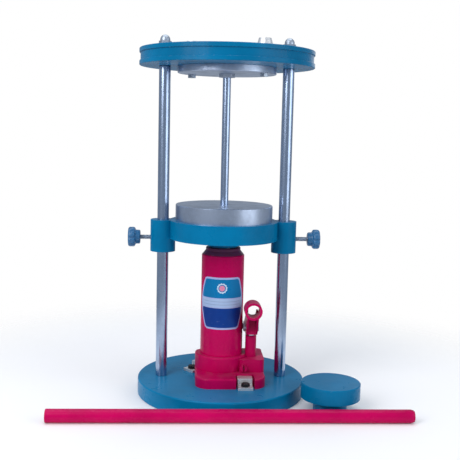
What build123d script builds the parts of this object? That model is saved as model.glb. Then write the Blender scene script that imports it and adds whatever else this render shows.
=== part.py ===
"""Two-column bench hydraulic press with a bottle jack, sliding platen, pump handle and loose pusher disc.

Units are mm, +Z is up, the pillars stand on the X axis and the operator stands at -Y.
The origin is the centre of the underside of the base plate.
"""
import os
from math import atan2, cos, degrees, radians, sin, tan

from build123d import *

os.makedirs("parts", exist_ok=True)

# ---- clearances -------------------------------------------------------------------------------
run_fit = 0.08          # radial, sliding and turning fits
pin_fit = 0.05          # radial, pins and screws in their holes
thread_fit = 0.05       # radial, modelled plain threads
body_gap = 0.30         # between bodies that move apart

# ---- frame ------------------------------------------------------------------------------------
base_r = 148.0
base_t = 28.0
base_edge_r = 2.5
top_r = 150.0
top_t = 28.0
top_land = 7.5          # height of the upper and the lower land of the rim
top_groove_depth = 2.0
pillar_x = 106.5        # pillar axis from the press axis
pillar_r = 10.0
pillar_len = 545.0      # base plate to top plate
stud_r = 6.0            # M12 ends of the pillars
stud_hole_r = 6.3
screw_head_r = 9.0
screw_head_h = 12.0
screw_head_sink = 13.0
screw_grip = 25.0       # thread of the base screws inside the pillar
screw_socket_r = 5.0
washer_r = 12.0
washer_t = 2.5
nut_af = 19.0
nut_hex_h = 11.0
nut_dome_r = 8.6
stud_grip = 15.0        # pillar stud inside the cap nut

# ---- upper pressure plate ---------------------------------------------------------------------
plate_r = 85.0
upper_t = 11.5
plate_bolt_ring_r = 74.0
plate_bolt_angle = -36.0
plate_bolt_r = 4.0
plate_bolt_hole_r = 4.5
plate_bolt_af = 13.0
plate_bolt_head_h = 5.3
tie_flange_r = 16.0
tie_flange_h = 6.0
tie_cone_r = 14.0
tie_top_r = 10.5
tie_h = 18.5
tie_grip = 13.0
bush_af = 24.0
bush_hex_h = 6.0
bush_spigot_r = 10.0

# ---- sliding platen and its rod ---------------------------------------------------------------
rod_r = 7.0
rod_above_top = 7.0     # rod end above the top plate
rod_sink = 18.0         # rod inside the lower disc
disc_t = 27.5
platen_r = 95.0
platen_t = 32.0
neck_half_w = 14.0      # webs from the platen disc to its bosses
boss_r = 21.75
boss_drop = 23.5        # boss below the underside of the platen
collar_r = 26.0
collar_h = 14.0
clamp_r = 4.0           # M8 clamp screws
clamp_above_boss = 24.0  # screw axis above the lower face of the boss
pad_len = 5.0
knob_hub_r = 12.25
knob_hub_h = 8.0
knob_r = 17.5
knob_h = 13.0
knob_flutes = 8
knob_flute_r = 4.5
clamp_reach_right = 20.75   # bare thread between boss and knob
clamp_reach_left = 17.75

# ---- jack -------------------------------------------------------------------------------------
apron_t = 17.5
apron_left = 9.0        # apron beyond the tank at the left
apron_y0, apron_y1 = -80.0, 45.0
apron_corner_r = 25.0
tank_boss_wall = 9.0
tank_boss_h = 44.0
tank_seat_h = 34.0
tank_r = 37.5
tank_wall = 4.0
tank_h = 188.0
cylinder_r = 25.0
cylinder_h = 184.0
ram_r = 19.0
ram_h = 200.0
ram_foot_gap = 4.0
seal_h = 6.0
seal_depth = 3.0
nut_thread_h = 14.0
nut_cone_h = 7.0
nut_cone_in = 1.5       # foot of the nut inside the tank radius
nut_flange_in = 7.0
nut_flange_h = 5.0
saddle_r = 22.0
saddle_t = 11.0
saddle_spigot_r = 10.0
saddle_spigot_h = 8.0
filler_r = 7.0
filler_z = 150.0        # above the tank seat
label_t = 0.25
label_gap = 0.05
label_z0, label_h = 59.0, 92.0     # above the tank seat
label_half_top = 29.1
label_half_mid = 35.0
label_half_bottom = 28.3
label_turn = -3.5

# ---- pump -------------------------------------------------------------------------------------
pump_gap = 14.5         # pump axis outside the tank
pump_y = -12.0
housing_left = 22.0     # housing each side of the pump axis
housing_right = 22.5
housing_y0, housing_y1 = -40.0, 36.0
housing_h = 40.0        # above the base plate
housing_round = 8.0
barrel_r = 9.75
barrel_top = 78.0       # above the base plate
barrel_sink = 22.0
plunger_r = 6.0
plunger_tail = 44.0     # plunger below its collar
plunger_collar_r = 6.7
plunger_collar_h = 3.0
pin_r = 4.0
pin_above_collar = 12.3
lug_half_w = 6.7
lug_r = 8.0
fork_half_gap = 7.0
fork_plate_t = 3.0
fork_web_t = 3.0
fork_web_reach = 17.5   # front of the fork's web ahead of the plunger
fulcrum_dy = 32.8       # fulcrum behind the plunger
fulcrum_drop = 4.0      # fulcrum below the plunger pin
post_depth = 16.0
post_spigot_r = 6.0
post_spigot_h = 14.0
socket_wall = 4.0
socket_y0, socket_y1 = -58.0, -28.0
socket_above_pin = 39.2
slot_len = 4.6          # travel of the plunger pin along its slot
slot_lift = 0.6         # extra half height of the slot for the pin
pin_head_r = 6.0
pin_head_t = 3.0
cotter_r = 1.1
ball_r = 3.0
valve_left = 14.0       # release valve beside the pump axis
valve_z = 26.0          # and above the base plate
valve_r = 5.0
valve_len = 20.0
valve_head_r = 6.2
valve_head_len = 7.5

# ---- hold-down clips --------------------------------------------------------------------------
clip_w = 26.0
clip_t = 5.0
clip_foot = 20.0
clip_toe = 12.0
ledge_h = 10.0
clip_bolt_r = 4.0
clip_bolt_af = 13.0
clip_bolt_head_h = 5.3
clip_bolt_grip = 14.0
front_clip_left = 13.0  # clip beside the pump axis
front_clip_y = -63.0
rear_clip_turn = 129.0
rear_clip_out = 23.0    # leg of the rear clip from the centre of the apron corner

# ---- loose parts ------------------------------------------------------------------------------
handle_r = 11.0
handle_wall = 2.0
handle_len = 594.0
handle_centre_x = 11.8
handle_stand_off = 1.5
handle_nose_len = 6.0
handle_nose_r = 9.6
handle_slot_w = 4.0
handle_slot_depth = 7.0
socket_fit = 0.25       # handle in its socket
pusher_r = 50.0
pusher_t = 26.0
pusher_hub_r = 28.5
pusher_hub_h = 24.0
pusher_x = 181.0
pusher_behind_handle = 57.5

# ---- derived heights and places ---------------------------------------------------------------
pump_x = tank_r + pump_gap
housing_x0 = pump_x - housing_left
housing_x1 = pump_x + housing_right
apron_x0 = -(tank_r + apron_left)
apron_x1 = housing_x1
tank_boss_r = tank_r + tank_boss_wall
nut_cone_r0 = tank_r - nut_cone_in
nut_cone_r1 = tank_r - nut_flange_in
valve_x = pump_x - valve_left
front_clip_x = pump_x - front_clip_left
top_z = base_t + pillar_len
top_face_z = top_z + top_t
upper_z = top_z - upper_t
seat_z = base_t + tank_seat_h
ram_z = seat_z + ram_foot_gap
ram_top = ram_z + ram_h
platen_z = ram_top + saddle_t
disc_z = platen_z + platen_t
work_z = disc_z + disc_t
rod_len = top_face_z + rod_above_top - work_z
boss_z = platen_z - boss_drop
clamp_z = boss_z + clamp_above_boss
tank_top = seat_z + tank_h
housing_z = base_t + housing_h
barrel_z = base_t + barrel_top
collar_z = barrel_z + body_gap
pin_z = collar_z + pin_above_collar
fulcrum_y = pump_y + fulcrum_dy
fulcrum_z = pin_z - fulcrum_drop
socket_z = pin_z + socket_above_pin
socket_bore = handle_r + socket_fit
socket_r = socket_bore + socket_wall
fork_out = fork_half_gap + fork_plate_t
handle_y = -(base_r + handle_stand_off + handle_r)
pusher_y = handle_y + pusher_behind_handle
pillars = [(-pillar_x, 0), (pillar_x, 0)]
bolt_places = [plate_bolt_angle, plate_bolt_angle + 180]


def facing(x, y, z, normal):
    """Plane at a point with its normal along the given direction."""
    return Plane(origin=(x, y, z), z_dir=normal)


def save(build, label):
    """Name a finished piece and write it to its own file."""
    build.part.label = label
    export_step(build.part, f"parts/{label}.step")


def clip_plane(index):
    """Plane on the base plate at the leg of a clip, with its y axis towards the toe."""
    if index == 0:
        return Plane(origin=(front_clip_x, front_clip_y, base_t))
    turn = radians(180 - rear_clip_turn)
    x = apron_x0 + apron_corner_r - rear_clip_out * sin(turn)
    y = apron_y1 - apron_corner_r + rear_clip_out * cos(turn)
    return Plane(
        origin=(x, y, base_t),
        x_dir=(cos(radians(rear_clip_turn + 180)), sin(radians(rear_clip_turn + 180)), 0),
        z_dir=(0, 0, 1),
    )


clip_planes = [clip_plane(0), clip_plane(1)]
foot_mid_y = -(clip_t + clip_foot / 2)

# ================================================================================== frame
with BuildPart() as base_plate:
    with BuildSketch(Plane.XY):
        Circle(base_r)
    extrude(amount=base_t)
    fillet(base_plate.edges().group_by(Axis.Z)[-1], base_edge_r)
    chamfer(base_plate.edges().group_by(Axis.Z)[0], 1)
    with Locations(facing(0, 0, 0, (0, 0, -1))):
        with GridLocations(2 * pillar_x, 0, 2, 1):
            CounterBoreHole(stud_r + thread_fit, screw_head_r + 1, screw_head_sink)
    for plane in clip_planes:
        with Locations(plane):
            with Locations((0, foot_mid_y)):
                Hole(clip_bolt_r + thread_fit, clip_bolt_grip + 2)
save(base_plate, "base_plate")

with BuildPart() as base_pillar_screws:
    with BuildSketch(Plane.XY.offset(screw_head_sink - screw_head_h)):
        with Locations(*pillars):
            Circle(screw_head_r)
    extrude(amount=screw_head_h)
    with BuildSketch(Plane.XY.offset(screw_head_sink)):
        with Locations(*pillars):
            Circle(stud_r)
    extrude(amount=base_t - screw_head_sink + screw_grip)
    with BuildSketch(Plane.XY.offset(screw_head_sink - screw_head_h)):
        with Locations(*pillars):
            RegularPolygon(screw_socket_r, 6, major_radius=False)
    extrude(amount=screw_head_h / 2, mode=Mode.SUBTRACT)
save(base_pillar_screws, "base_pillar_screws")

for side, x in (("left", -pillar_x), ("right", pillar_x)):
    with BuildPart() as pillar:
        with BuildSketch(Plane.XY.offset(base_t)):
            with Locations((x, 0)):
                Circle(pillar_r)
        extrude(amount=pillar_len)
        chamfer(pillar.edges().filter_by(GeomType.CIRCLE), 0.8)
        with BuildSketch(Plane.XY.offset(top_z)):
            with Locations((x, 0)):
                Circle(stud_r)
        extrude(amount=top_t + washer_t + stud_grip)
        with Locations(facing(x, 0, base_t, (0, 0, -1))):
            Hole(stud_r + thread_fit, screw_grip + 3)
    save(pillar, f"pillar_{side}")

with BuildPart() as top_plate:
    with BuildSketch(Plane.XY.offset(top_z)):
        Circle(top_r)
    extrude(amount=top_t)
    with BuildSketch(Plane.XY.offset(top_z + top_land)):
        Circle(top_r)
        Circle(top_r - top_groove_depth, mode=Mode.SUBTRACT)
    extrude(amount=top_t - 2 * top_land, mode=Mode.SUBTRACT)
    rims = top_plate.edges().filter_by(GeomType.CIRCLE).sort_by(SortBy.RADIUS)[-4:]
    chamfer(rims, 0.8)
    with Locations(Plane.XY.offset(top_face_z)):
        with GridLocations(2 * pillar_x, 0, 2, 1):
            Hole(stud_hole_r)
        with PolarLocations(plate_bolt_ring_r, 2, start_angle=plate_bolt_angle):
            Hole(plate_bolt_hole_r)
        Hole(bush_spigot_r + pin_fit)
save(top_plate, "top_plate")

with BuildPart() as pillar_washers:
    with BuildSketch(Plane.XY.offset(top_face_z)):
        with Locations(*pillars):
            Circle(washer_r)
            Circle(stud_hole_r, mode=Mode.SUBTRACT)
    extrude(amount=washer_t)
save(pillar_washers, "pillar_washers")

nut_z = top_face_z + washer_t
with BuildPart() as pillar_cap_nuts:
    with BuildSketch(Plane.XY.offset(nut_z)):
        with Locations(*pillars):
            RegularPolygon(nut_af / 2, 6, major_radius=False)
    extrude(amount=nut_hex_h)
    for x, y in pillars:
        with BuildSketch(Plane(origin=(x, y, nut_z + nut_hex_h), x_dir=(1, 0, 0), z_dir=(0, -1, 0))):
            with BuildLine():
                Line((0, 0), (nut_dome_r, 0))
                Line((nut_dome_r, 0), (nut_dome_r, 2))
                RadiusArc((nut_dome_r, 2), (0, 2 + nut_dome_r), -nut_dome_r)
                Line((0, 2 + nut_dome_r), (0, 0))
            make_face()
        revolve(axis=Axis((x, y, 0), (0, 0, 1)))
    with Locations(facing(0, 0, nut_z, (0, 0, -1))):
        with GridLocations(2 * pillar_x, 0, 2, 1):
            Hole(stud_r + thread_fit, stud_grip + 1)
save(pillar_cap_nuts, "pillar_cap_nuts")

# ================================================================================== upper plate
with BuildPart() as upper_pressure_plate:
    with BuildSketch(Plane.XY.offset(upper_z)):
        Circle(plate_r)
    extrude(amount=upper_t)
    chamfer(upper_pressure_plate.edges().group_by(Axis.Z)[0], 1)
    with Locations(Plane.XY.offset(top_z)):
        with PolarLocations(plate_bolt_ring_r, 2, start_angle=plate_bolt_angle):
            Hole(plate_bolt_hole_r)
        Hole(bush_spigot_r + pin_fit)
save(upper_pressure_plate, "upper_pressure_plate")

with BuildPart() as plate_bolts:
    with BuildSketch(Plane.XY.offset(upper_z - plate_bolt_head_h)):
        with PolarLocations(plate_bolt_ring_r, 2, start_angle=plate_bolt_angle):
            RegularPolygon(plate_bolt_af / 2, 6, major_radius=False)
    extrude(amount=plate_bolt_head_h)
    with BuildSketch(Plane.XY.offset(upper_z)):
        with PolarLocations(plate_bolt_ring_r, 2, start_angle=plate_bolt_angle):
            Circle(plate_bolt_r)
    extrude(amount=upper_t + top_t + tie_grip)
save(plate_bolts, "plate_bolts")

with BuildPart() as plate_tie_nuts:
    for angle in bolt_places:
        x = plate_bolt_ring_r * cos(radians(angle))
        y = plate_bolt_ring_r * sin(radians(angle))
        with BuildSketch(Plane(origin=(x, y, top_face_z), x_dir=(1, 0, 0), z_dir=(0, -1, 0))):
            with BuildLine():
                Polyline(
                    (plate_bolt_r + thread_fit, 0),
                    (tie_flange_r, 0),
                    (tie_flange_r, tie_flange_h),
                    (tie_cone_r, tie_flange_h),
                    (tie_top_r, tie_h),
                    (0, tie_h),
                    (0, tie_grip + 1),
                    (plate_bolt_r + thread_fit, tie_grip + 1),
                    close=True,
                )
            make_face()
        revolve(axis=Axis((x, y, 0), (0, 0, 1)))
save(plate_tie_nuts, "plate_tie_nuts")

with BuildPart() as rod_guide_bush:
    with BuildSketch(Plane.XY.offset(upper_z - bush_hex_h)):
        RegularPolygon(bush_af / 2, 6, major_radius=False)
    extrude(amount=bush_hex_h)
    with BuildSketch(Plane.XY.offset(upper_z)):
        Circle(bush_spigot_r)
    extrude(amount=upper_t + top_t)
    with Locations(Plane.XY.offset(top_face_z)):
        Hole(rod_r + run_fit)
save(rod_guide_bush, "rod_guide_bush")

# ================================================================================== platen
with BuildPart() as platen:
    with BuildSketch(Plane.XY.offset(platen_z)):
        Circle(platen_r)
        Rectangle(2 * pillar_x, 2 * neck_half_w)
    extrude(amount=platen_t)
    with BuildSketch(Plane.XY.offset(boss_z)):
        with Locations(*pillars):
            Circle(boss_r)
    extrude(amount=boss_drop + platen_t)
    with BuildSketch(Plane.XY.offset(platen_z - collar_h)):
        Circle(collar_r)
        Circle(saddle_r + body_gap, mode=Mode.SUBTRACT)
    extrude(amount=collar_h)
    with Locations(Plane.XY.offset(disc_z)):
        with GridLocations(2 * pillar_x, 0, 2, 1):
            Hole(pillar_r + run_fit)
    for way in (-1, 1):
        with BuildSketch(Plane(origin=(way * pillar_x, 0, clamp_z), x_dir=(0, 1, 0), z_dir=(way, 0, 0))):
            Circle(clamp_r + thread_fit)
        extrude(amount=2 * boss_r, mode=Mode.SUBTRACT)
save(platen, "platen")

with BuildPart() as lower_pressure_disc:
    with BuildSketch(Plane.XY.offset(disc_z)):
        Circle(plate_r)
    extrude(amount=disc_t)
    chamfer(lower_pressure_disc.edges().group_by(Axis.Z)[-1], 1)
    with Locations(Plane.XY.offset(work_z)):
        Hole(rod_r + pin_fit, rod_sink + 1)
save(lower_pressure_disc, "lower_pressure_disc")

with BuildPart() as centre_rod:
    with BuildSketch(Plane.XY.offset(work_z - rod_sink)):
        Circle(rod_r)
    extrude(amount=rod_sink + rod_len)
    fillet(centre_rod.edges().group_by(Axis.Z)[-1], 2)
save(centre_rod, "centre_rod")

for side, way, reach in (("left", -1, clamp_reach_left), ("right", 1, clamp_reach_right)):
    across = (0, 1, 0)
    out = (way, 0, 0)
    pad_x = pillar_x + pillar_r + body_gap
    tip_x = pad_x + pad_len
    hub_x = pillar_x + boss_r + reach
    with BuildPart() as clamp_pad:
        with BuildSketch(Plane(origin=(way * pad_x, 0, clamp_z), x_dir=across, z_dir=out)):
            Circle(clamp_r)
        extrude(amount=pad_len)
    save(clamp_pad, f"clamp_pad_{side}")
    with BuildPart() as clamp_screw:
        with BuildSketch(Plane(origin=(way * tip_x, 0, clamp_z), x_dir=across, z_dir=out)):
            Circle(clamp_r)
        extrude(amount=hub_x + knob_hub_h + knob_h / 2 - tip_x)
    save(clamp_screw, f"clamp_screw_{side}")
    with BuildPart() as clamp_knob:
        with BuildSketch(Plane(origin=(way * hub_x, 0, clamp_z), x_dir=across, z_dir=out)):
            Circle(knob_hub_r)
        extrude(amount=knob_hub_h)
        with BuildSketch(Plane(origin=(way * (hub_x + knob_hub_h), 0, clamp_z), x_dir=across, z_dir=out)):
            Circle(knob_r)
            with PolarLocations(knob_r + knob_flute_r * 0.55, knob_flutes):
                Circle(knob_flute_r, mode=Mode.SUBTRACT)
        extrude(amount=knob_h)
        ends = clamp_knob.faces().sort_by(Axis.X)
        chamfer((ends[-1] if way > 0 else ends[0]).edges(), 1)
        with Locations(facing(way * hub_x, 0, clamp_z, (-way, 0, 0))):
            Hole(clamp_r + thread_fit, knob_hub_h + knob_h / 2)
    save(clamp_knob, f"clamp_knob_{side}")

# ================================================================================== jack
with BuildPart() as jack_base:
    with BuildSketch(Plane.XY.offset(base_t)):
        with Locations(((apron_x0 + apron_x1) / 2, (apron_y0 + apron_y1) / 2)):
            RectangleRounded(apron_x1 - apron_x0, apron_y1 - apron_y0, apron_corner_r)
    extrude(amount=apron_t)
    fillet(jack_base.edges().group_by(Axis.Z)[-1], 3)
    with BuildSketch(Plane.XY.offset(base_t)):
        Circle(tank_boss_r)
    extrude(amount=tank_boss_h)
    with BuildSketch(Plane.XY.offset(base_t)):
        with Locations(((housing_x0 + housing_x1) / 2, (housing_y0 + housing_y1) / 2)):
            RectangleRounded(housing_x1 - housing_x0, housing_y1 - housing_y0, housing_round)
    extrude(amount=housing_h)
    rim = jack_base.faces().filter_by(Axis.Z).sort_by(Axis.Z)[-1]
    chamfer(rim.edges(), 2)
    # recess for the tank and the cylinder
    with BuildSketch(Plane.XY.offset(seat_z)):
        Circle(tank_r + pin_fit)
    extrude(amount=tank_boss_h, mode=Mode.SUBTRACT)
    # pockets and ledges for the hold-down clips
    for plane in clip_planes:
        with BuildSketch(plane.offset(ledge_h)):
            with Locations((0, clip_toe / 2 - apron_t)):
                Rectangle(clip_w + 6, clip_toe + 1 + 2 * apron_t)
        extrude(amount=housing_h, mode=Mode.SUBTRACT)
        with BuildSketch(plane):
            with Locations((0, body_gap - 2 * apron_t)):
                Rectangle(clip_w + 6, 4 * apron_t)
        extrude(amount=ledge_h, mode=Mode.SUBTRACT)
    # pump barrel, fulcrum post and release valve seats
    with Locations(Plane(origin=(pump_x, pump_y, housing_z))):
        Hole(barrel_r + pin_fit, barrel_sink)
    with Locations(Plane(origin=(pump_x, fulcrum_y, housing_z))):
        Hole(post_spigot_r + pin_fit, post_spigot_h + 0.5)
    with Locations(Plane(origin=(pump_x, pump_y, housing_z - barrel_sink))):
        Hole(ball_r + 0.4, 2 * ball_r + 2)
    with Locations(facing(valve_x, housing_y0, base_t + valve_z, (0, -1, 0))):
        Hole(valve_r + run_fit, valve_len)
        Hole(ball_r + 0.4, valve_len + ball_r)
save(jack_base, "jack_base")

with BuildPart() as jack_tank:
    with BuildSketch(Plane.XY.offset(seat_z)):
        Circle(tank_r)
    extrude(amount=tank_h)
    fillet(jack_tank.edges().group_by(Axis.Z)[-1], 2.5)
    with BuildSketch(Plane.XY.offset(seat_z)):
        Circle(tank_r - tank_wall)
    extrude(amount=tank_h, mode=Mode.SUBTRACT)
    with Locations(facing(0, tank_r, seat_z + filler_z, (0, 1, 0))):
        Hole(filler_r - 2, 2 * tank_wall)
save(jack_tank, "jack_tank")

with BuildPart() as tank_nut:
    with BuildSketch(Plane.XZ):
        with BuildLine():
            Polyline(
                (ram_r + run_fit, tank_top + nut_cone_h + nut_flange_h),
                (nut_cone_r1, tank_top + nut_cone_h + nut_flange_h),
                (nut_cone_r1, tank_top + nut_cone_h),
                (nut_cone_r0, tank_top),
                (tank_r - tank_wall - thread_fit, tank_top),
                (tank_r - tank_wall - thread_fit, tank_top - nut_thread_h),
                (cylinder_r + pin_fit, tank_top - nut_thread_h),
                (cylinder_r + pin_fit, seat_z + cylinder_h),
                (ram_r + run_fit, seat_z + cylinder_h),
                close=True,
            )
        make_face()
    revolve(axis=Axis.Z)
    chamfer(tank_nut.edges().group_by(Axis.Z)[-1].sort_by(SortBy.RADIUS)[-1], 1)
save(tank_nut, "tank_nut")

with BuildPart() as jack_cylinder:
    with BuildSketch(Plane.XY.offset(seat_z)):
        Circle(cylinder_r)
        Circle(ram_r + run_fit, mode=Mode.SUBTRACT)
    extrude(amount=cylinder_h)
save(jack_cylinder, "jack_cylinder")

with BuildPart() as jack_ram:
    with BuildSketch(Plane.XY.offset(ram_z)):
        Circle(ram_r)
    extrude(amount=ram_h)
    with BuildSketch(Plane.XY.offset(ram_z + 2 * seal_h)):
        Circle(ram_r)
        Circle(ram_r - seal_depth, mode=Mode.SUBTRACT)
    extrude(amount=seal_h, mode=Mode.SUBTRACT)
    with Locations(Plane.XY.offset(ram_top)):
        Hole(saddle_spigot_r + pin_fit, saddle_spigot_h + 0.5)
save(jack_ram, "jack_ram")

with BuildPart() as ram_seal:
    with BuildSketch(Plane.XY.offset(ram_z + 2 * seal_h + 0.1)):
        Circle(ram_r + run_fit / 2)
        Circle(ram_r - seal_depth + 0.05, mode=Mode.SUBTRACT)
    extrude(amount=seal_h - 0.2)
save(ram_seal, "ram_seal")

with BuildPart() as ram_saddle:
    with BuildSketch(Plane.XY.offset(ram_top)):
        Circle(saddle_r)
    extrude(amount=saddle_t)
    with BuildSketch(Plane.XY.offset(ram_top - saddle_spigot_h)):
        Circle(saddle_spigot_r)
    extrude(amount=saddle_spigot_h)
save(ram_saddle, "ram_saddle")

with BuildPart() as oil_filler_plug:
    with BuildSketch(facing(0, tank_r, seat_z + filler_z, (0, 1, 0))):
        Circle(filler_r)
    extrude(amount=2.5)
    with BuildSketch(facing(0, tank_r - tank_wall - 1, seat_z + filler_z, (0, 1, 0))):
        Circle(filler_r - 2 - pin_fit)
    extrude(amount=tank_wall + 1.5)
    with BuildSketch(Plane.XY.offset(seat_z)):
        Circle(tank_r + 0.05)
        Circle(tank_r - tank_wall, mode=Mode.SUBTRACT)
        with Locations((0, -tank_r)):
            Rectangle(4 * tank_r, 2 * tank_r, mode=Mode.SUBTRACT)
    extrude(amount=filler_z - filler_r + 2.2, mode=Mode.SUBTRACT)
save(oil_filler_plug, "oil_filler_plug")

label_in = tank_r + label_gap
with BuildPart() as jack_label:
    with BuildSketch(Plane.XY.offset(seat_z + label_z0)):
        Circle(label_in + label_t)
        Circle(label_in, mode=Mode.SUBTRACT)
    extrude(amount=label_h)
    with BuildSketch(Plane.XZ.rotated((0, 0, label_turn))):
        low = seat_z + label_z0
        with BuildLine():
            Line((-label_half_bottom, low), (label_half_bottom, low))
            ThreePointArc(
                (label_half_bottom, low), (label_half_mid, low + label_h / 2), (label_half_top, low + label_h)
            )
            Line((label_half_top, low + label_h), (-label_half_top, low + label_h))
            ThreePointArc(
                (-label_half_top, low + label_h), (-label_half_mid, low + label_h / 2), (-label_half_bottom, low)
            )
        make_face()
    extrude(amount=2 * tank_r, mode=Mode.INTERSECT)
save(jack_label, "jack_label")

# ================================================================================== pump
with BuildPart() as pump_barrel:
    with BuildSketch(Plane.XY.offset(housing_z - barrel_sink)):
        with Locations((pump_x, pump_y)):
            Circle(barrel_r)
            Circle(plunger_r + run_fit, mode=Mode.SUBTRACT)
    extrude(amount=barrel_sink + barrel_z - housing_z)
    chamfer(pump_barrel.edges().group_by(Axis.Z)[-1].sort_by(SortBy.RADIUS)[-1], 1)
save(pump_barrel, "pump_barrel")

with BuildPart() as pump_plunger:
    with BuildSketch(Plane.XY.offset(collar_z - plunger_tail)):
        with Locations((pump_x, pump_y)):
            Circle(plunger_r)
    extrude(amount=plunger_tail)
    with BuildSketch(Plane.XY.offset(collar_z)):
        with Locations((pump_x, pump_y)):
            Circle(plunger_collar_r)
    extrude(amount=plunger_collar_h)
    with BuildSketch(Plane.YZ.offset(pump_x - lug_half_w)):
        with Locations((pump_y, pin_z)):
            Circle(lug_r)
        with Locations((pump_y, (collar_z + plunger_collar_h + pin_z) / 2)):
            Rectangle(2 * lug_r, pin_z - collar_z - plunger_collar_h)
    extrude(amount=2 * lug_half_w)
    with Locations(Plane(origin=(pump_x + lug_half_w, pump_y, pin_z), x_dir=(0, 1, 0), z_dir=(1, 0, 0))):
        Hole(pin_r + pin_fit)
save(pump_plunger, "pump_plunger")

with BuildPart() as fulcrum_post:
    with BuildSketch(Plane.YZ.offset(pump_x - lug_half_w)):
        with Locations((fulcrum_y, fulcrum_z)):
            Circle(post_depth / 2)
        with Locations((fulcrum_y, (housing_z + fulcrum_z) / 2)):
            Rectangle(post_depth, fulcrum_z - housing_z)
    extrude(amount=2 * lug_half_w)
    with BuildSketch(Plane.XY.offset(housing_z - post_spigot_h)):
        with Locations((pump_x, fulcrum_y)):
            Circle(post_spigot_r)
    extrude(amount=post_spigot_h)
    with Locations(Plane(origin=(pump_x + lug_half_w, fulcrum_y, fulcrum_z), x_dir=(0, 1, 0), z_dir=(1, 0, 0))):
        Hole(pin_r + pin_fit)
save(fulcrum_post, "fulcrum_post")

slot_mid = slot_len / 2
slot_tilt = degrees(atan2(fulcrum_drop, fulcrum_dy))
with BuildPart() as handle_socket:
    with BuildSketch(facing(pump_x, socket_y1, socket_z, (0, -1, 0))):
        Circle(socket_r)
    extrude(amount=socket_y1 - socket_y0)
    for inner in (pump_x - fork_out, pump_x + fork_half_gap):
        with BuildSketch(Plane.YZ.offset(inner)):
            with Locations((pump_y, pin_z)):
                Circle(lug_r + 1)
            with Locations((fulcrum_y, fulcrum_z)):
                Circle(lug_r)
            with Locations((socket_y1 - 4, socket_z - 3)):
                Circle(3.5)
            with Locations((socket_y0 + 9, socket_z - socket_r + 4)):
                Circle(4)
            with Locations((pump_y - fork_web_reach + 4.5, pin_z - 4.5)):
                Circle(4.5)
            make_hull()
        extrude(amount=fork_plate_t)
    web_z0 = pin_z - lug_r
    web_z1 = socket_z - socket_r + 2
    with BuildSketch(Plane.YZ.offset(pump_x - fork_half_gap)):
        with Locations((pump_y - fork_web_reach + fork_web_t / 2, (web_z0 + web_z1) / 2)):
            Rectangle(fork_web_t, web_z1 - web_z0)
    extrude(amount=2 * fork_half_gap)
    with BuildSketch(facing(pump_x, socket_y1 + 1, socket_z, (0, -1, 0))):
        Circle(socket_bore)
    extrude(amount=socket_y1 - socket_y0 + 2, mode=Mode.SUBTRACT)
    with BuildSketch(Plane.YZ.offset(pump_x - fork_out - 1)):
        with Locations((fulcrum_y, fulcrum_z)):
            Circle(pin_r + pin_fit)
        with Locations(Location((pump_y - slot_mid, pin_z + slot_mid * tan(radians(slot_tilt)), 0), -slot_tilt)):
            SlotCenterToCenter(slot_len, 2 * (pin_r + body_gap + slot_lift))
    extrude(amount=2 * fork_out + 2, mode=Mode.SUBTRACT)
save(handle_socket, "handle_socket")

for name, y, z in (("plunger", pump_y, pin_z), ("fulcrum", fulcrum_y, fulcrum_z)):
    head_x = pump_x + fork_out + body_gap
    tail_x = pump_x - fork_out - 4.3
    cotter_x = tail_x + 1.7
    with BuildPart() as pin:
        with BuildSketch(Plane(origin=(tail_x, y, z), x_dir=(0, 1, 0), z_dir=(1, 0, 0))):
            Circle(pin_r)
        extrude(amount=head_x - tail_x)
        chamfer(pin.faces().sort_by(Axis.X)[0].edges(), 0.6)
        with BuildSketch(Plane(origin=(head_x, y, z), x_dir=(0, 1, 0), z_dir=(1, 0, 0))):
            Circle(pin_head_r)
        extrude(amount=pin_head_t)
        with BuildSketch(Plane.XY.offset(z - 2 * pin_r)):
            with Locations((cotter_x, y)):
                Circle(cotter_r + pin_fit)
        extrude(amount=4 * pin_r, mode=Mode.SUBTRACT)
    save(pin, f"{name}_pin")
    with BuildPart() as cotter:
        with BuildSketch(Plane.XY.offset(z - pin_r - 2)):
            with Locations((cotter_x, y)):
                Circle(cotter_r)
        extrude(amount=2 * pin_r + 3)
        with Locations((cotter_x, y, z + pin_r + 2.4)):
            Torus(1.6, 0.6, rotation=(90, 0, 0))
    save(cotter, f"{name}_cotter")

with BuildPart() as valve_balls:
    with Locations(
        (pump_x, pump_y, housing_z - barrel_sink - ball_r - 2),
        (valve_x, housing_y0 + valve_len - 0.2, base_t + valve_z),
    ):
        Sphere(ball_r)
save(valve_balls, "valve_balls")

valve_tip_y = housing_y0 + valve_len - ball_r - 0.6
with BuildPart() as release_valve:
    with BuildSketch(facing(valve_x, valve_tip_y, base_t + valve_z, (0, -1, 0))):
        Circle(valve_r)
    extrude(amount=valve_tip_y - housing_y0 + body_gap)
    with BuildSketch(facing(valve_x, housing_y0 - body_gap, base_t + valve_z, (0, -1, 0))):
        Circle(valve_head_r)
    extrude(amount=valve_head_len)
    chamfer(release_valve.faces().sort_by(Axis.Y)[0].edges(), 0.8)
    with BuildSketch(facing(valve_x, housing_y0 - body_gap - valve_head_len, base_t + valve_z, (0, -1, 0))):
        Rectangle(3 * valve_head_r, handle_slot_w - 0.6)
    extrude(amount=-4, mode=Mode.SUBTRACT)
save(release_valve, "release_valve")

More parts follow.
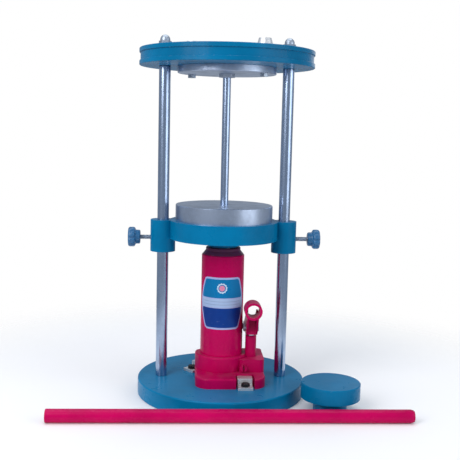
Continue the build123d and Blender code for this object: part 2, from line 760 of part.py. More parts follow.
# ================================================================================== clips
with BuildPart() as hold_down_clips:
    for plane in clip_planes:
        side_plane = Plane(
            origin=plane.origin - plane.x_dir * clip_w / 2, x_dir=plane.y_dir, z_dir=plane.x_dir
        )
        with BuildSketch(side_plane):
            with BuildLine():
                Polyline(
                    (-clip_t - clip_foot, 0),
                    (0, 0),
                    (0, ledge_h),
                    (clip_toe, ledge_h),
                    (clip_toe, ledge_h + clip_t),
                    (-clip_t, ledge_h + clip_t),
                    (-clip_t, clip_t),
                    (-clip_t - clip_foot, clip_t),
                    close=True,
                )
            make_face()
        extrude(amount=clip_w)
    for plane in clip_planes:
        with BuildSketch(plane.offset(clip_t)):
            with Locations((0, foot_mid_y)):
                Circle(clip_bolt_r + 0.4)
        extrude(amount=-clip_t, mode=Mode.SUBTRACT)
save(hold_down_clips, "hold_down_clips")

with BuildPart() as clip_bolts:
    for plane in clip_planes:
        with BuildSketch(plane.offset(clip_t)):
            with Locations((0, foot_mid_y)):
                RegularPolygon(clip_bolt_af / 2, 6, major_radius=False)
        extrude(amount=clip_bolt_head_h)
        with BuildSketch(plane.offset(clip_t)):
            with Locations((0, foot_mid_y)):
                Circle(clip_bolt_r)
        extrude(amount=-(clip_t + clip_bolt_grip))
save(clip_bolts, "clip_bolts")

# ================================================================================== loose parts
handle_left = handle_centre_x - handle_len / 2
handle_right = handle_left + handle_len
with BuildPart() as pump_handle:
    with BuildSketch(facing(handle_left, handle_y, handle_r, (1, 0, 0))):
        Circle(handle_r)
    extrude(amount=handle_len)
    nose = pump_handle.faces().sort_by(Axis.X)[-1].edges()
    barrel = pump_handle.faces().filter_by(GeomType.CYLINDER)[0]
    chamfer(nose, length=handle_nose_len, length2=handle_r - handle_nose_r, reference=barrel)
    with BuildSketch(facing(handle_left, handle_y, handle_r, (1, 0, 0))):
        Circle(min(handle_nose_r - 0.8, handle_r - handle_wall))
    extrude(amount=handle_len, mode=Mode.SUBTRACT)
    with BuildSketch(facing(handle_right, handle_y, handle_r, (1, 0, 0))):
        Rectangle(3 * handle_r, handle_slot_w)
    extrude(amount=-handle_slot_depth, mode=Mode.SUBTRACT)
save(pump_handle, "pump_handle")

with BuildPart() as loose_pusher:
    with BuildSketch(Plane.XY):
        with Locations((pusher_x, pusher_y)):
            Circle(pusher_hub_r)
    extrude(amount=pusher_hub_h)
    with BuildSketch(Plane.XY.offset(pusher_hub_h)):
        with Locations((pusher_x, pusher_y)):
            Circle(pusher_r)
    extrude(amount=pusher_t)
    chamfer(loose_pusher.edges().group_by(Axis.Z)[-1], 1.2)
save(loose_pusher, "loose_pusher")
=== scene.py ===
"""Looks of the two-column bench press: materials, printed label, threads, knobs, light and camera."""

import math

import bmesh
import bpy
from mathutils import Matrix, Vector


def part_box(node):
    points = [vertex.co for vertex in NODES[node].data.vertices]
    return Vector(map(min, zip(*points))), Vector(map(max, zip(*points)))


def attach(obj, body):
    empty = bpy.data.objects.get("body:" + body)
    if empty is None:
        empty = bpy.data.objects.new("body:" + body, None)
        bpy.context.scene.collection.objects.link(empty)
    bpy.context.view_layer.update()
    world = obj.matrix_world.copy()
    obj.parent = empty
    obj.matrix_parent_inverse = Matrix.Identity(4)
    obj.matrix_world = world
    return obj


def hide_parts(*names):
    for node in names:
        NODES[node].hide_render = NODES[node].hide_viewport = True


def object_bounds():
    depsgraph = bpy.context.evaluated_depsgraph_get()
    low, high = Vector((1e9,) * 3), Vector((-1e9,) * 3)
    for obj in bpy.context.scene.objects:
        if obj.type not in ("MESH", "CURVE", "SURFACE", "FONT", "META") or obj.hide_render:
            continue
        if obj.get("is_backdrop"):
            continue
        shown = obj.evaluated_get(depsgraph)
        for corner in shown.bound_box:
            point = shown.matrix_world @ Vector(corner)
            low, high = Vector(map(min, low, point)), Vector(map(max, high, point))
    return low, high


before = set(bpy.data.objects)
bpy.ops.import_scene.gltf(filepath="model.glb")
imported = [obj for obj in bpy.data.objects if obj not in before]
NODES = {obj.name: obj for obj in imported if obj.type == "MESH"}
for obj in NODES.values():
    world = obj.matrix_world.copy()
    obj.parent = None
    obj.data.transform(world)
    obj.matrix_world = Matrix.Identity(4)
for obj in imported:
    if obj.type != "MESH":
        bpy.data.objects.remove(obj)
cad_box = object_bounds()


# ------------------------------------------------------------------------------- node helpers
class Shade:
    """A material under construction, with short calls for its nodes and links."""

    def __init__(self, name):
        self.mat = bpy.data.materials.new(name)
        self.mat.use_nodes = True
        self.tree = self.mat.node_tree
        self.bsdf = self.tree.nodes["Principled BSDF"]
        self.where = self.tree.nodes.new("ShaderNodeTexCoord").outputs["Object"]

    def node(self, kind, **values):
        made = self.tree.nodes.new(kind)
        for key, value in values.items():
            setattr(made, key, value)
        return made

    def link(self, out, into):
        self.tree.links.new(out, into)

    def feed(self, socket, value):
        if isinstance(value, bpy.types.NodeSocket):
            self.link(value, socket)
        else:
            socket.default_value = value

    def math(self, op, a, b=0.0, c=0.0, clamp=False):
        made = self.node("ShaderNodeMath", operation=op, use_clamp=clamp)
        for socket, value in zip(made.inputs, (a, b, c)):
            self.feed(socket, value)
        return made.outputs[0]

    def split(self, vector):
        made = self.node("ShaderNodeSeparateXYZ")
        self.link(vector, made.inputs[0])
        return made.outputs

    def join(self, x, y, z):
        made = self.node("ShaderNodeCombineXYZ")
        for socket, value in zip(made.inputs, (x, y, z)):
            self.feed(socket, value)
        return made.outputs[0]

    def scaled(self, x, y, z):
        made = self.node("ShaderNodeMapping")
        self.link(self.where, made.inputs["Vector"])
        made.inputs["Scale"].default_value = (x, y, z)
        return made.outputs[0]

    def noise(self, scale, detail=3.0, rough=0.55, at=None):
        made = self.node("ShaderNodeTexNoise")
        self.link(at or self.where, made.inputs["Vector"])
        made.inputs["Scale"].default_value = scale
        made.inputs["Detail"].default_value = detail
        made.inputs["Roughness"].default_value = rough
        return made.outputs["Fac"]

    def spots(self, scale, at=None):
        made = self.node("ShaderNodeTexVoronoi")
        self.link(at or self.where, made.inputs["Vector"])
        made.inputs["Scale"].default_value = scale
        return made.outputs["Distance"]

    def band(self, value, low, high, to_low=0.0, to_high=1.0):
        made = self.node("ShaderNodeMapRange", interpolation_type="SMOOTHSTEP")
        self.link(value, made.inputs["Value"])
        for key, number in (("From Min", low), ("From Max", high), ("To Min", to_low), ("To Max", to_high)):
            made.inputs[key].default_value = number
        return made.outputs["Result"]

    def mix(self, fac, a, b):
        made = self.node("ShaderNodeMix", data_type="RGBA")
        self.feed(made.inputs["Factor"], fac)
        self.feed(made.inputs["A"], a)
        self.feed(made.inputs["B"], b)
        return made.outputs["Result"]

    def edge(self, radius):
        """1 on convex and concave edges within the radius, 0 on flats."""
        bevel = self.node("ShaderNodeBevel", samples=4)
        bevel.inputs["Radius"].default_value = radius
        flat = self.node("ShaderNodeNewGeometry")
        dot = self.node("ShaderNodeVectorMath", operation="DOT_PRODUCT")
        self.link(bevel.outputs[0], dot.inputs[0])
        self.link(flat.outputs["Normal"], dot.inputs[1])
        return self.band(dot.outputs["Value"], 0.995, 0.90)

    def up(self):
        """1 on faces that look up, 0 elsewhere."""
        normal = self.node("ShaderNodeNewGeometry").outputs["Normal"]
        return self.band(self.split(normal)["Z"], 0.6, 0.98)

    def finish(self, color, metallic, rough, bump=None, distance=0.0001, strength=1.0):
        self.feed(self.bsdf.inputs["Base Color"], color)
        self.feed(self.bsdf.inputs["Metallic"], metallic)
        self.feed(self.bsdf.inputs["Roughness"], rough)
        if bump is not None:
            made = self.node("ShaderNodeBump")
            made.inputs["Distance"].default_value = distance
            made.inputs["Strength"].default_value = strength
            self.link(bump, made.inputs["Height"])
            self.link(made.outputs[0], self.bsdf.inputs["Normal"])
        return self.mat


def rgb(hexa):
    """Linear colour of an sRGB hex string."""
    parts = [int(hexa[i : i + 2], 16) / 255 for i in (0, 2, 4)]
    lin = [p / 12.92 if p <= 0.04045 else ((p + 0.055) / 1.055) ** 2.4 for p in parts]
    return (*lin, 1.0)


def darker(tint, share):
    """The same tint with its three channels scaled down."""
    return tuple(v * share for v in tint[:3]) + (1,)


# ------------------------------------------------------------------------------- materials
def paint(name, main, deep, primer_and_highlight, rough=0.28, coat=0.07, cast=0.0, dust=0.25, edge_wear_and_highlight=0.6):
    """Sprayed enamel: orange peel, faint colour drift, edges worn to a lighter primer grey that also paints
    an edge highlight, dust on what faces up.
    """
    s = Shade(name)
    drift = s.noise(9.0, 4.0)
    mottled = s.mix(s.band(drift, 0.3, 0.7), main, deep)
    grime = s.noise(38.0, 5.0, 0.65)
    mottled = s.mix(s.math("MULTIPLY", s.band(grime, 0.56, 0.78), 0.35), mottled, deep)
    speck = s.band(s.spots(420.0), 0.08, 0.03)
    # Edge mask: edges worn through to primer, and also a painted edge highlight, because the lighter primer
    # grey brightens the rims.
    worn = s.math("MULTIPLY", s.edge(0.0011), s.band(s.noise(150.0, 4.0, 0.7), 0.52, 0.64))
    worn = s.math("MULTIPLY", worn, edge_wear_and_highlight, clamp=True)
    dusty = s.math("MULTIPLY", s.up(), s.band(s.noise(55.0, 6.0, 0.7), 0.35, 0.75))
    dusty = s.math("MULTIPLY", dusty, dust)
    color = s.mix(s.math("MULTIPLY", dusty, 0.4), mottled, (0.36, 0.40, 0.45, 1))
    color = s.mix(s.math("MULTIPLY", speck, 0.05), color, (0.6, 0.62, 0.65, 1))
    # Wear and painted edge highlight: the edges are lightened towards the primer grey.
    color = s.mix(worn, color, primer_and_highlight)
    scuffs = s.noise(26.0, 4.0, 0.6)
    gloss = s.band(scuffs, 0.30, 0.75, rough, rough + 0.08)
    gloss = s.math("ADD", gloss, s.math("MULTIPLY", dusty, 0.6))
    gloss = s.math("ADD", gloss, s.math("MULTIPLY", worn, 0.25), clamp=True)
    peel = s.math("MULTIPLY", s.noise(520.0, 2.0), 0.35)
    sand = s.math("MULTIPLY", s.noise(260.0, 5.0, 0.7), cast)
    height = s.math("SUBTRACT", s.math("ADD", peel, sand), s.math("MULTIPLY", worn, 0.5))
    s.bsdf.inputs["Coat Weight"].default_value = coat
    s.bsdf.inputs["Coat Roughness"].default_value = 0.10
    s.bsdf.inputs["Coat IOR"].default_value = 1.35
    s.bsdf.inputs["Specular IOR Level"].default_value = 0.08
    return s.finish(color, s.math("MULTIPLY", worn, 0.6), gloss, height, 0.00014)


def rod_steel(name, tint, rough=0.16):
    """Ground and polished round bar: fine rings across the bar, a few long marks, thin oil film."""
    s = Shade(name)
    rings = s.noise(1.0, 2.0, 0.5, s.scaled(60.0, 60.0, 5200.0))
    cloudy = s.noise(22.0, 4.0)
    marks = s.band(s.noise(1.0, 3.0, 0.6, s.scaled(900.0, 900.0, 14.0)), 0.64, 0.72)
    color = s.mix(s.band(cloudy, 0.3, 0.7), tint, darker(tint, 0.82))
    color = s.mix(s.math("MULTIPLY", marks, 0.25), color, (0.20, 0.21, 0.23, 1))
    gloss = s.math("ADD", s.band(cloudy, 0.3, 0.8, rough, rough + 0.10), s.math("MULTIPLY", marks, 0.12))
    height = s.math("SUBTRACT", rings, s.math("MULTIPLY", marks, 0.6))
    return s.finish(color, 1.0, gloss, height, 0.000003)


def turned_steel(name, tint, rough=0.28, pitch=1500.0):
    """Lathe-faced steel: concentric tool rings on flats, tight rings round the rim, light staining."""
    s = Shade(name)
    at = s.split(s.where)
    x, y, z = at["X"], at["Y"], at["Z"]
    radius = s.math("SQRT", s.math("ADD", s.math("MULTIPLY", x, x), s.math("MULTIPLY", y, y)))
    fine = s.join(s.math("MULTIPLY", radius, pitch), 0.0, s.math("MULTIPLY", z, pitch))
    coarse = s.join(s.math("MULTIPLY", radius, 160.0), 0.0, s.math("MULTIPLY", z, 160.0))
    rings = s.noise(1.0, 2.0, 0.6, fine)
    broad = s.noise(1.0, 1.0, 0.5, coarse)
    stain = s.noise(30.0, 6.0, 0.7)
    color = s.mix(s.band(stain, 0.35, 0.75), tint, darker(tint, 0.72))
    rust = s.math("MULTIPLY", s.band(s.noise(90.0, 5.0, 0.8), 0.66, 0.74), 0.3)
    color = s.mix(rust, color, (0.16, 0.13, 0.11, 1))
    gloss = s.math("ADD", s.band(stain, 0.3, 0.8, rough, rough + 0.14), s.math("MULTIPLY", rings, 0.06))
    s.bsdf.inputs["Anisotropic"].default_value = 0.35
    return s.finish(color, 1.0, gloss, s.math("ADD", rings, s.math("MULTIPLY", broad, 0.5)), 0.00002)


def plated(name, tint, rough=0.32, dark=0.7):
    """Zinc plate or black oxide on small hardware: crystalline mottling and rubbed edges."""
    s = Shade(name)
    grain = s.spots(700.0)
    cloud = s.noise(120.0, 5.0, 0.7)
    color = s.mix(s.band(cloud, 0.3, 0.75), tint, darker(tint, dark))
    rubbed = s.math("MULTIPLY", s.edge(0.0005), s.band(s.noise(300.0, 3.0), 0.4, 0.6))
    color = s.mix(s.math("MULTIPLY", rubbed, 0.5), color, (0.72, 0.73, 0.75, 1))
    gloss = s.math("ADD", s.band(cloud, 0.3, 0.8, rough, rough + 0.2), s.math("MULTIPLY", grain, 0.15))
    return s.finish(color, 0.95, gloss, s.math("ADD", grain, cloud), 0.00003)


def moulded(name, tint, worn, rough=0.42, grain=900.0):
    """Moulded plastic or rubber: fine spark texture, greasy patches, lighter rubbed edges."""
    s = Shade(name)
    texture = s.noise(grain, 3.0, 0.6)
    grease = s.noise(60.0, 4.0, 0.6)
    color = s.mix(s.band(grease, 0.35, 0.7), tint, darker(tint, 0.78))
    rubbed = s.math("MULTIPLY", s.edge(0.0009), s.band(s.noise(180.0, 4.0), 0.4, 0.65))
    color = s.mix(s.math("MULTIPLY", rubbed, 0.6), color, worn)
    gloss = s.band(grease, 0.35, 0.75, rough, rough - 0.14)
    return s.finish(color, 0.0, gloss, texture, 0.00008)


def printed(name, tint, second, rough=0.3, metallic=0.0):
    """Ink on film: halftone grain, slow shade change and a soft scuffed varnish."""
    s = Shade(name)
    grain = s.noise(1400.0, 2.0)
    slow = s.noise(14.0, 3.0)
    scuff = s.band(s.noise(1.0, 6.0, 0.75, s.scaled(60.0, 60.0, 260.0)), 0.6, 0.74)
    color = s.mix(s.band(slow, 0.3, 0.7), tint, second)
    color = s.mix(s.math("MULTIPLY", grain, 0.10), color, second)
    color = s.mix(s.math("MULTIPLY", scuff, 0.18), color, (0.6, 0.62, 0.66, 1))
    gloss = s.math("ADD", s.band(slow, 0.3, 0.8, rough, rough + 0.08), s.math("MULTIPLY", scuff, 0.2))
    s.bsdf.inputs["Specular IOR Level"].default_value = 0.2
    return s.finish(color, metallic, gloss, grain, 0.00001)


BLUE = paint("blue_enamel", rgb("0078a8"), rgb("006893"), rgb("8f9aa3"), rough=0.26, dust=0.12, edge_wear_and_highlight=0.45)
RED = paint("red_enamel", rgb("c60058"), rgb("ab004a"), rgb("8a8f96"), rough=0.24, dust=0.10, edge_wear_and_highlight=0.4)
# Painted shade: the tank nut's red enamel is darkened to a dull purple-grey that stands in for the platen's
# shadow over the neck.
SHADED_NECK = paint("neck_enamel_painted_shade", rgb("75365c"), rgb("583049"), rgb("8a8f96"), rough=0.3, dust=0.10, edge_wear_and_highlight=0.5)
RED_CAST = paint(
    "red_cast_enamel", rgb("c20056"), rgb("a20046"), rgb("77706c"), rough=0.30, cast=1.3, dust=0.18, edge_wear_and_highlight=0.55
)
PILLAR = rod_steel("pillar_steel", (0.40, 0.50, 0.67, 1), 0.17)
RAM = rod_steel("ram_steel", (0.62, 0.66, 0.72, 1), 0.12)
TURNED = turned_steel("turned_steel", (0.50, 0.58, 0.72, 1), 0.26)
TURNED_SMALL = turned_steel("turned_small", (0.55, 0.60, 0.68, 1), 0.30, 2600.0)
ZINC = plated("zinc_plate", (0.46, 0.53, 0.62, 1))
PALE_ZINC = plated("pale_zinc_plate", (0.78, 0.79, 0.80, 1), 0.38, 0.85)
BLACK = plated("black_oxide", (0.035, 0.036, 0.04, 1), 0.38)
KNOB = moulded("knob_plastic", rgb("2d6a98"), rgb("7fa3c0"), 0.34)
RUBBER = moulded("black_rubber", (0.022, 0.022, 0.024, 1), (0.09, 0.09, 0.09, 1), 0.62)
BRASS = plated("pad_brass", (0.72, 0.50, 0.20, 1), 0.3)

CARRIED = {
    "base_plate": BLUE, "top_plate": BLUE, "platen": BLUE, "loose_pusher": BLUE,
    "base_pillar_screws": BLACK, "pillar_left": PILLAR, "pillar_right": PILLAR, "pillar_washers": ZINC,
    "pillar_cap_nuts": ZINC, "upper_pressure_plate": TURNED, "plate_bolts": ZINC,
    "plate_tie_nuts": PALE_ZINC, "rod_guide_bush": TURNED_SMALL, "jack_base": RED_CAST,
    "jack_tank": RED, "tank_nut": SHADED_NECK, "jack_cylinder": TURNED_SMALL, "oil_filler_plug": RUBBER,
    "pump_barrel": RED_CAST, "fulcrum_post": RED_CAST, "fulcrum_pin": ZINC, "fulcrum_cotter": ZINC,
    "valve_balls": RAM, "hold_down_clips": PALE_ZINC, "clip_bolts": BLACK, "jack_ram": RAM,
    "ram_seal": RUBBER, "ram_saddle": TURNED_SMALL, "lower_pressure_disc": TURNED, "centre_rod": PILLAR,
    "clamp_pad_left": BRASS, "clamp_pad_right": BRASS, "handle_socket": RED_CAST, "pump_plunger": RAM,
    "plunger_pin": ZINC, "plunger_cotter": ZINC, "release_valve": RED_CAST, "pump_handle": RED,
}
SOFT_EDGE = {
    "jack_base": 0.0016, "handle_socket": 0.0011, "fulcrum_post": 0.0010, "platen": 0.0008,
    "pump_barrel": 0.0005, "hold_down_clips": 0.0009, "plate_bolts": 0.0005, "clip_bolts": 0.0006,
    "rod_guide_bush": 0.0005, "pillar_cap_nuts": 0.0005, "plate_tie_nuts": 0.0008, "tank_nut": 0.0006,
    "lower_pressure_disc": 0.0004, "upper_pressure_plate": 0.0004, "loose_pusher": 0.0008,
    "pillar_washers": 0.0003, "ram_saddle": 0.0005, "release_valve": 0.0003, "pump_plunger": 0.0004,
    "pump_handle": 0.0004, "oil_filler_plug": 0.0005,
}


def dress(name, material):
    """Give a carried-over node its material and, where it has crisp corners, real rounded edges."""
    obj = NODES[name]
    obj.data.materials.clear()
    obj.data.materials.append(material)
    width = SOFT_EDGE.get(name)
    if width:
        weld = obj.modifiers.new("weld", "WELD")
        weld.merge_threshold = 0.000002
        bevel = obj.modifiers.new("soft_edge", "BEVEL")
        bevel.width = width
        bevel.segments = 3
        bevel.limit_method = "ANGLE"
        bevel.angle_limit = math.radians(32)
        bevel.miter_outer = "MITER_ARC"
        bevel.harden_normals = False
        normals = obj.modifiers.new("normals", "WEIGHTED_NORMAL")
        normals.keep_sharp = False


for node_name, node_material in CARRIED.items():
    dress(node_name, node_material)


# ------------------------------------------------------------------------------- mesh helpers
def piece(name, verts, faces, material, body, replaced=(), angle=35):
    """A new mesh piece that rides on a body and takes the given material."""
    mesh = bpy.data.meshes.new(name)
    mesh.from_pydata([tuple(v) for v in verts], [], faces)
    bm = bmesh.new()
    bm.from_mesh(mesh)
    bmesh.ops.remove_doubles(bm, verts=bm.verts, dist=1e-7)
    bmesh.ops.recalc_face_normals(bm, faces=bm.faces)
    bm.to_mesh(mesh)
    bm.free()
    obj = bpy.data.objects.new(name, mesh)
    bpy.context.scene.collection.objects.link(obj)
    mesh.materials.append(material)
    for poly in mesh.polygons:
        poly.use_smooth = True
    mesh.set_sharp_from_angle(angle=math.radians(angle))
    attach(obj, body)
    if replaced:
        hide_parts(*replaced)
    return obj


def lathe(rows, count, place, radius=None):
    """Rows of (distance along, radius) turned round an axis; place maps (along, u, v) to a point."""
    verts, faces = [], []
    for along, r in rows:
        for k in range(count):
            a = 2 * math.pi * k / count
            rr = r if radius is None else radius(along, r, a)
            verts.append(place(along, rr * math.cos(a), rr * math.sin(a)))
    for i in range(len(rows) - 1):
        for k in range(count):
            j = (k + 1) % count
            faces.append((i * count + k, i * count + j, (i + 1) * count + j, (i + 1) * count + k))
    faces.append(tuple(range(count))[::-1])
    last = (len(rows) - 1) * count
    faces.append(tuple(range(last, last + count)))
    return verts, faces


END_SLOPE = 1.2  # how steeply a thread's bevelled end rises
DEPTH_SHARE = 0.61  # a thread's depth, as a share of its pitch
FLANK_GAIN, ROOT_FLAT = 1.25, 0.12  # these cut the crest and the root of the thread's triangle flat


def thread(start, end, r, pitch, place):
    """A single-start screw thread with bevelled ends, from start to end along its axis."""
    depth = DEPTH_SHARE * pitch
    turn, per = 36, 10
    steps = int((end - start) / pitch * per)
    verts, faces = [], []
    for i in range(steps + 1):
        along = start + (end - start) * i / steps
        for k in range(turn):
            a = 2 * math.pi * k / turn
            phase = (along / pitch - k / turn) % 1.0
            tri = abs(2 * phase - 1)
            tri = min(1.0, max(0.0, FLANK_GAIN * tri - ROOT_FLAT))
            to_end = max(0.0, min(along - start, end - along))
            rr = min(r - depth * (1 - tri), r - depth + END_SLOPE * to_end)
            verts.append(place(along, rr * math.cos(a), rr * math.sin(a)))
    for i in range(steps):
        for k in range(turn):
            j = (k + 1) % turn
            faces.append((i * turn + k, i * turn + j, (i + 1) * turn + j, (i + 1) * turn + k))
    faces.append(tuple(range(turn))[::-1])
    faces.append(tuple(range(steps * turn, steps * turn + turn)))
    return verts, faces


# ------------------------------------------------------------------------------- clamp screws and knobs
KNOB_LENGTH = 0.021
KNOB_RIM_R = 0.0172
KNOB_HUB_R = 0.0118
GRIPS = 8
GRIP_DEPTH = 0.0019
THREAD_R = 0.004
THREAD_PITCH = 0.00125
THREAD_INTO_KNOB = 0.45
KNOB_ROWS = [
    (0.0, 0.0045), (0.0, 0.0108), (0.0006, 0.0117), (0.0018, 0.0122), (0.0066, 0.0123),
    (0.0078, 0.0130), (0.0086, 0.0148), (0.0094, 0.0162), (0.0106, 0.0170), (0.0125, 0.0172),
    (0.0170, 0.0172), (0.0186, 0.0170), (0.0199, 0.0163), (0.0207, 0.0150), (0.0210, 0.0132),
    (0.0209, 0.0100), (0.0203, 0.0088), (0.0201, 0.0060), (0.0201, 0.0010),
]


def lobed(along, r, a):
    """Radius of the knob at an angle: shallow grips cut into the rim only."""
    weight = min(1.0, max(0.0, (r - KNOB_HUB_R) / (KNOB_RIM_R - KNOB_HUB_R)))
    groove = max(0.0, math.cos(GRIPS * a)) ** 1.6
    return r - GRIP_DEPTH * weight * groove


for side, way in (("left", -1), ("right", 1)):
    low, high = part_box(f"clamp_knob_{side}")
    s_low, s_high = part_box(f"clamp_screw_{side}")
    mid_y, mid_z = (low[1] + high[1]) / 2, (low[2] + high[2]) / 2
    inner = low[0] if way > 0 else -high[0]
    outer = high[0] if way > 0 else -low[0]
    tip = s_low[0] if way > 0 else -s_high[0]
    reach = outer - inner

    def place(along, u, v, way=way, mid_y=mid_y, mid_z=mid_z):
        return Vector((way * along, mid_y + u, mid_z + v))

    rows = [(inner + a * reach / KNOB_LENGTH, r) for a, r in KNOB_ROWS]
    verts, faces = lathe(rows, 160, place, lobed)
    body = f"knob_{side}"
    piece(f"star_knob_{side}", verts, faces, KNOB, body, (f"clamp_knob_{side}",), 50)
    verts, faces = thread(tip, inner + THREAD_INTO_KNOB * reach, THREAD_R, THREAD_PITCH, place)
    piece(f"clamp_thread_{side}", verts, faces, ZINC, body, (f"clamp_screw_{side}",), 60)

# ------------------------------------------------------------------------------- printed label
low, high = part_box("jack_label")
tank_low, tank_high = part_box("jack_tank")
TANK_R = (tank_high[0] - tank_low[0]) / 2
LABEL_Z0, LABEL_Z1 = low[2], high[2]
LABEL_TURN = math.radians(-3.5)
LABEL_HALF_WIDTHS = (0.0283, 0.0350, 0.0291)  # bottom, middle, top


def half_angle(t):
    """Half width of the barrel-shaped label at height t from 0 to 1, as an angle."""
    bottom, middle, top = LABEL_HALF_WIDTHS
    chord = bottom + (top - bottom) * t + (middle - (top + bottom) / 2) * 4 * t * (1 - t)
    return math.asin(chord / TANK_R)


def on_tank(angle, z, lift):
    """Point on the tank front, at an angle from the label's middle."""
    a = -math.pi / 2 + LABEL_TURN + angle
    r = TANK_R + lift
    return Vector((r * math.cos(a), r * math.sin(a), z))


def patch(name, t0, t1, margin, lift, thick, material, columns=56, rows=40, round_by=0.0):
    """A film on the tank between heights t0 and t1, a margin in from the label's sides."""
    verts, faces = [], []
    height = LABEL_Z1 - LABEL_Z0
    for layer in (lift, lift + thick):
        for i in range(rows + 1):
            f = i / rows
            t = t0 + (t1 - t0) * f
            z = LABEL_Z0 + height * t
            half = half_angle(t) - margin / TANK_R
            if round_by:
                rise = min(f, 1 - f) * (t1 - t0) * height
                if rise < round_by:
                    half -= (round_by - math.sqrt(max(0.0, round_by**2 - (round_by - rise) ** 2))) / TANK_R
            for k in range(columns + 1):
                verts.append(on_tank(half * (2 * k / columns - 1), z, layer))
    wide = columns + 1
    per = wide * (rows + 1)
    for i in range(rows):
        for k in range(columns):
            a = i * wide + k
            faces.append((a + per, a + 1 + per, a + 1 + wide + per, a + wide + per))
            faces.append((a, a + wide, a + 1 + wide, a + 1))
    loop = [k for k in range(columns + 1)]
    loop += [i * wide + columns for i in range(1, rows + 1)]
    loop += [rows * wide + k for k in range(columns - 1, -1, -1)]
    loop += [i * wide for i in range(rows - 1, 0, -1)]
    for a, b in zip(loop, loop[1:] + loop[:1]):
        faces.append((a, b, b + per, a + per))
    return piece(name, verts, faces, material, "frame", angle=40)


def badge(name, t, r0, r1, lift, thick, material, teeth=0, depth=0.0):
    """A ring or disc printed on the label, centred at height t, with an optional toothed rim."""
    verts, faces = [], []
    count = 96
    z0 = LABEL_Z0 + (LABEL_Z1 - LABEL_Z0) * t
    for layer in (lift, lift + thick):
        for r in (r0, (r0 + r1) / 2, r1):
            for k in range(count):
                a = 2 * math.pi * k / count
                rr = r
                if teeth and r == r1:
                    rr = r + depth * (1 if math.sin(teeth * a) > 0 else 0)
                verts.append(on_tank(rr * math.cos(a) / TANK_R, z0 + rr * math.sin(a), layer))
    per = 3 * count
    for i in range(2):
        for k in range(count):
            j = (k + 1) % count
            a, b, c, d = i * count + k, i * count + j, (i + 1) * count + j, (i + 1) * count + k
            faces.append((a + per, b + per, c + per, d + per))
            faces.append((a, d, c, b))
    for k in range(count):
        j = (k + 1) % count
        faces.append((2 * count + k, 2 * count + j, 2 * count + j + per, 2 * count + k + per))
        faces.append((k, k + per, j + per, j))
    return piece(name, verts, faces, material, "frame", angle=40)


FILM = printed("label_silver", rgb("aeb8e2"), rgb("9aa6d4"), 0.30)
TEAL = printed("label_teal", rgb("0078b0"), rgb("006ba0"), 0.26)
NAVY = printed("label_navy", rgb("003f94"), rgb("00307c"), 0.26)
BAND = printed("label_band", rgb("aec4e2"), rgb("9db4d6"), 0.28)
LIGHT = printed("label_light", rgb("cfe2f0"), rgb("b8d0e4"), 0.28)
MARK = printed("label_mark", rgb("8fa4c4"), rgb("8298ba"), 0.28)
CORE = printed("label_core", rgb("e08aa8"), rgb("d27c9a"), 0.28)

PANEL_MARGIN = 0.0034  # from the label's side to its printed panels
PANEL_LIFT, PANEL_FILM = 0.00017, 0.00004  # height above the tank and thickness of the panels
INK_LIFT = 0.00021  # height above the tank of what is printed over the panels
BADGE_LEVEL = 0.795  # share of the label's height

border = patch("label_border", 0.0, 1.0, 0.0, 0.00005, 0.00012, FILM, round_by=0.004)
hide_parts("jack_label")
patch("label_upper_panel", 0.605, 0.965, PANEL_MARGIN, PANEL_LIFT, PANEL_FILM, TEAL, round_by=0.003)
patch("label_middle_band", 0.425, 0.590, PANEL_MARGIN, PANEL_LIFT, PANEL_FILM, BAND, rows=16)
patch("label_lower_panel", 0.035, 0.410, PANEL_MARGIN, PANEL_LIFT, PANEL_FILM, NAVY, round_by=0.003)
for index, level in enumerate((0.478, 0.537)):
    patch(f"label_rule_{index}", level - 0.005, level + 0.005, 0.0095, INK_LIFT, 0.00002, MARK, rows=2)
badge("label_badge_ring", BADGE_LEVEL, 0.0066, 0.0083, INK_LIFT, 0.00003, LIGHT, teeth=12, depth=0.0009)
badge("label_badge_core", BADGE_LEVEL, 0.0004, 0.0050, INK_LIFT, 0.00003, CORE)

# ------------------------------------------------------------------------------- stage, light, camera
def area_light(name, energy, size, place, aim, color=(1, 1, 1), size_y=None):
    """A soft rectangular light aimed at a point."""
    data = bpy.data.lights.new(name, "AREA")
    data.energy = energy
    data.color = color
    data.shape = "RECTANGLE"
    data.size = size
    data.size_y = size_y or size
    obj = bpy.data.objects.new(name, data)
    bpy.context.scene.collection.objects.link(obj)
    obj.location = place
    obj.rotation_euler = (Vector(aim) - Vector(place)).to_track_quat("-Z", "Y").to_euler()
    return obj


FLOOR_HALF = 3.0
FADE_START, FADE_END = 0.36, 0.80  # the paper thins out between these distances from the press's axis
floor_mesh = bpy.data.meshes.new("studio_floor")
corners = [(x, y, 0.0) for y in (-FLOOR_HALF, FLOOR_HALF) for x in (-FLOOR_HALF, FLOOR_HALF)]
floor_mesh.from_pydata(corners, [], [(0, 1, 3, 2)])
floor = bpy.data.objects.new("studio_floor", floor_mesh)
bpy.context.scene.collection.objects.link(floor)
shade = Shade("studio_paper")
paper = shade.mix(shade.band(shade.noise(3.0, 3.0), 0.3, 0.7), (0.97, 0.97, 0.97, 1), (0.96, 0.96, 0.96, 1))
across = shade.split(shade.where)
squares = [shade.math("MULTIPLY", across[k], across[k]) for k in "XY"]
reach = shade.math("ADD", *squares)
shade.feed(shade.bsdf.inputs["Alpha"], shade.band(shade.math("SQRT", reach), FADE_START, FADE_END, 1.0, 0.0))
floor_mesh.materials.append(shade.finish(paper, 0.0, 0.7, shade.noise(700.0, 2.0), 0.00002))
floor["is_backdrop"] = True

world = bpy.data.worlds.new("studio")
bpy.context.scene.world = world
world.use_nodes = True
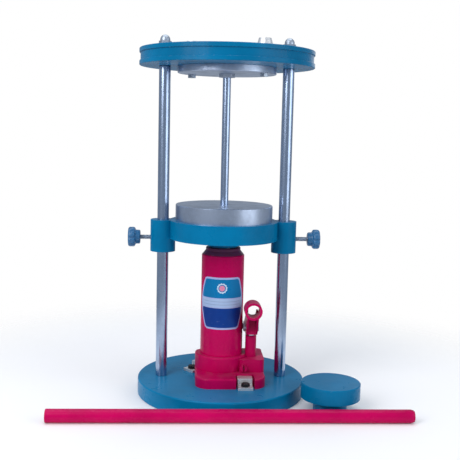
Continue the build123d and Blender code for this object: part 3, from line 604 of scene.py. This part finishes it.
# The backdrop is white for the camera alone; the press is lit by a dimmer, bluish sky.
soft_sky = world.node_tree.nodes["Background"]
soft_sky.inputs["Color"].default_value = (0.80, 0.88, 1.0, 1)
soft_sky.inputs["Strength"].default_value = 0.42
backdrop = world.node_tree.nodes.new("ShaderNodeBackground")
backdrop.inputs["Color"].default_value = (1.0, 1.0, 1.0, 1)
choose = world.node_tree.nodes.new("ShaderNodeMixShader")
ray = world.node_tree.nodes.new("ShaderNodeLightPath")
world.node_tree.links.new(ray.outputs["Is Camera Ray"], choose.inputs[0])
world.node_tree.links.new(soft_sky.outputs[0], choose.inputs[1])
world.node_tree.links.new(backdrop.outputs[0], choose.inputs[2])
world.node_tree.links.new(choose.outputs[0], world.node_tree.nodes["World Output"].inputs["Surface"])

area_light("key", 26.0, 1.2, (-1.15, -1.25, 1.35), (0, 0, 0.35), (1.0, 0.98, 1.0), 1.6)
area_light("fill", 12.0, 1.4, (1.5, -1.0, 0.8), (0, 0, 0.3), (0.95, 0.97, 1.0), 1.4)
area_light("top", 16.0, 1.6, (0.0, 0.2, 2.0), (0, 0, 0.3))
area_light("rim", 1.5, 0.8, (0.9, 1.4, 1.0), (0, 0, 0.35))

LENS = 62.4
CAMERA_PLACE = (-0.07145, -1.39097, 0.46976)
CAMERA_PAN = -3.40  # degrees about the vertical, negative to the right
CAMERA_DIP = 7.28  # degrees below level
CAMERA_ROLL = 1.32  # degrees about the line of sight

cam_data = bpy.data.cameras.new("camera")
cam = bpy.data.objects.new("camera", cam_data)
bpy.context.scene.collection.objects.link(cam)
cam_data.sensor_width = 36.0
cam_data.lens = LENS
cam.location = CAMERA_PLACE
turn = Matrix.Rotation(math.radians(CAMERA_PAN), 4, "Z")
tilt = Matrix.Rotation(math.radians(90 - CAMERA_DIP), 4, "X")
roll = Matrix.Rotation(math.radians(CAMERA_ROLL), 4, "Z")
cam.rotation_euler = (turn @ tilt @ roll).to_euler()
bpy.context.scene.camera = cam
bpy.context.scene.view_settings.view_transform = "Standard"
bpy.context.scene.view_settings.look = "None"
bpy.context.scene.view_settings.exposure = 0.0

now_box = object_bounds()
boxes = {"cad": cad_box, "visual": now_box}
{key: [list(map(float, c)) for c in box] for key, box in boxes.items()}
